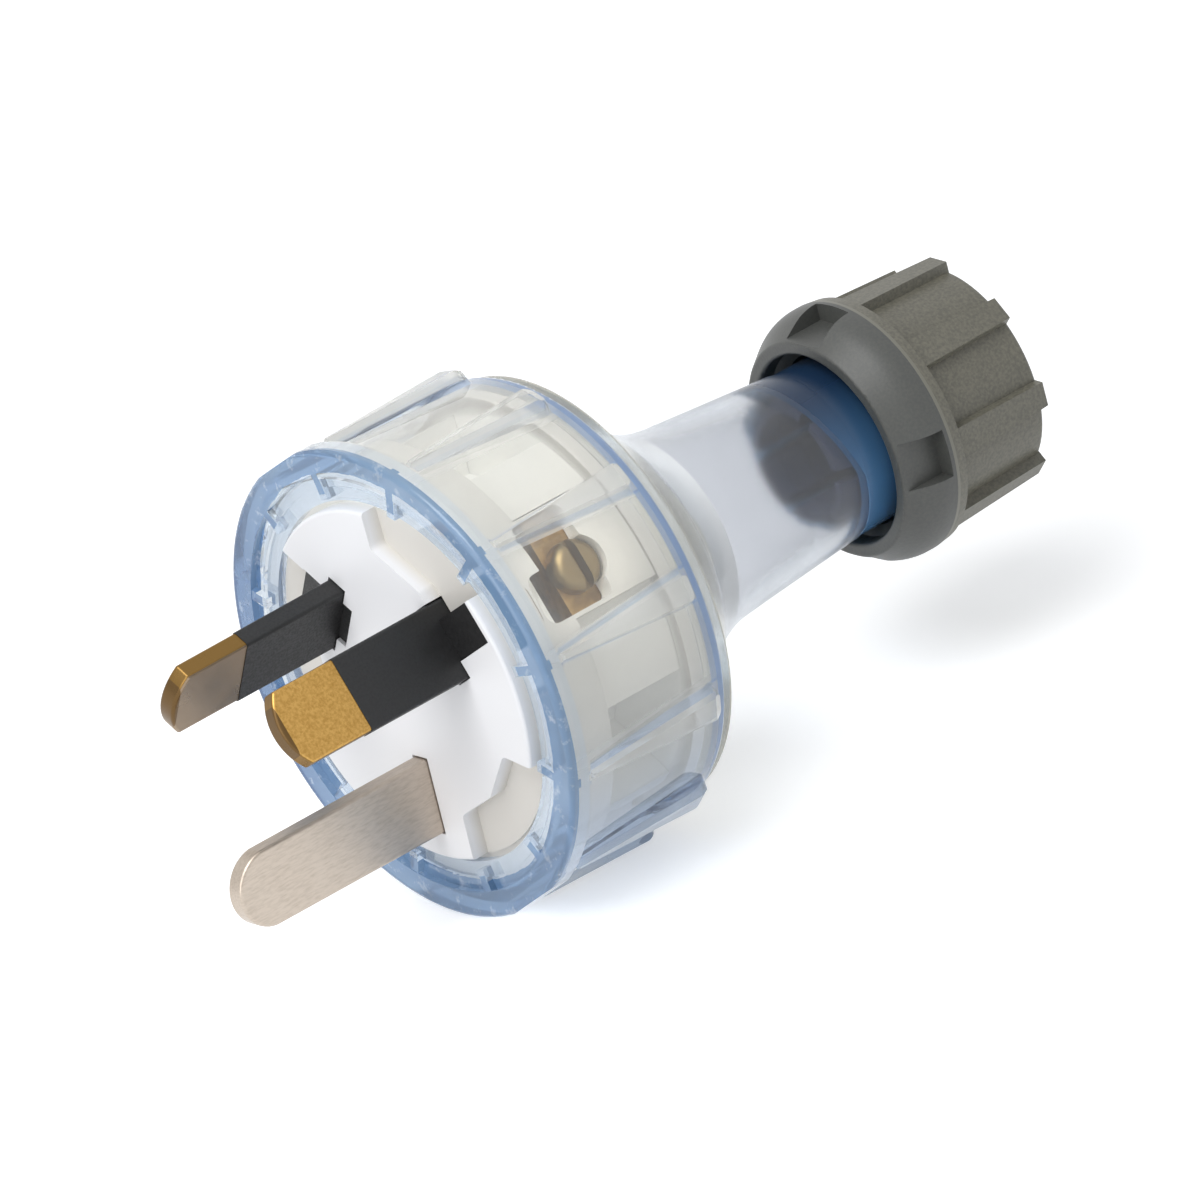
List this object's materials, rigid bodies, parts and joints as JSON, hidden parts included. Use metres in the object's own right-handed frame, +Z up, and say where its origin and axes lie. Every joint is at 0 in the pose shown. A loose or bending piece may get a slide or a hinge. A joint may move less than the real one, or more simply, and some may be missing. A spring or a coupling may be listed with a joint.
{
  "type": "electrical plug",
  "caption": "Rewirable flat-pin mains plug with a clear ribbed drum, a clear tapered neck and a screwed grey cord gland.",
  "frame": {"origin": "centre of the drum on the engaging face, where the white base meets the socket", "axes": "+X along the plug towards the pin tips, +Z up with the earth pin lowest, +Y to the active pin's side"},
  "size_m": [0.0783, 0.0396, 0.0396],
  "materials": {
    "clear_plastic": "clear moulded plastic with a blue cast in its thick edges",
    "white_plastic": "white moulded plastic, satin",
    "black_plastic": "black moulded insulation, matt",
    "pin_brass": "stamped brass, lightly worn",
    "pin_nickel": "nickel-plated brass, brushed",
    "terminal_brass": "machined brass",
    "screw_brass": "dull turned brass",
    "collet_grey": "dark grey moulded plastic",
    "nut_grey": "grey moulded plastic, matt"
  },
  "bodies": {
    "housing": {"clear_drum": "clear_plastic", "clear_neck": "clear_plastic", "pin_base": "white_plastic", "terminal_cover": "white_plastic", "active_pin": "pin_brass", "neutral_pin": "pin_brass", "earth_pin": "pin_nickel", "active_sleeve": "black_plastic", "neutral_sleeve": "black_plastic", "active_terminal": "terminal_brass", "neutral_terminal": "terminal_brass", "earth_terminal": "terminal_brass", "active_screw": "screw_brass", "neutral_screw": "screw_brass", "earth_screw": "screw_brass"},
    "grip": {"grip_collet": "collet_grey"},
    "nut": {"gland_nut": "nut_grey"}
  },
  "joints": [
    {"name": "grip_slide", "type": "slide", "parent": "housing", "child": "grip", "axis": [1, 0, 0], "range_m": [-0.00301, 0.00076]},
    {"name": "nut_turn", "type": "hinge", "parent": "grip", "child": "nut", "pos_m": [-0.0508, 0, 0], "axis": [1, 0, 0], "range_deg": [-720, 180]}
  ],
  "couplings": [
    {"joint": "grip_slide", "follows": "nut_turn", "m_per_rad": 0.00023873}
  ]
}
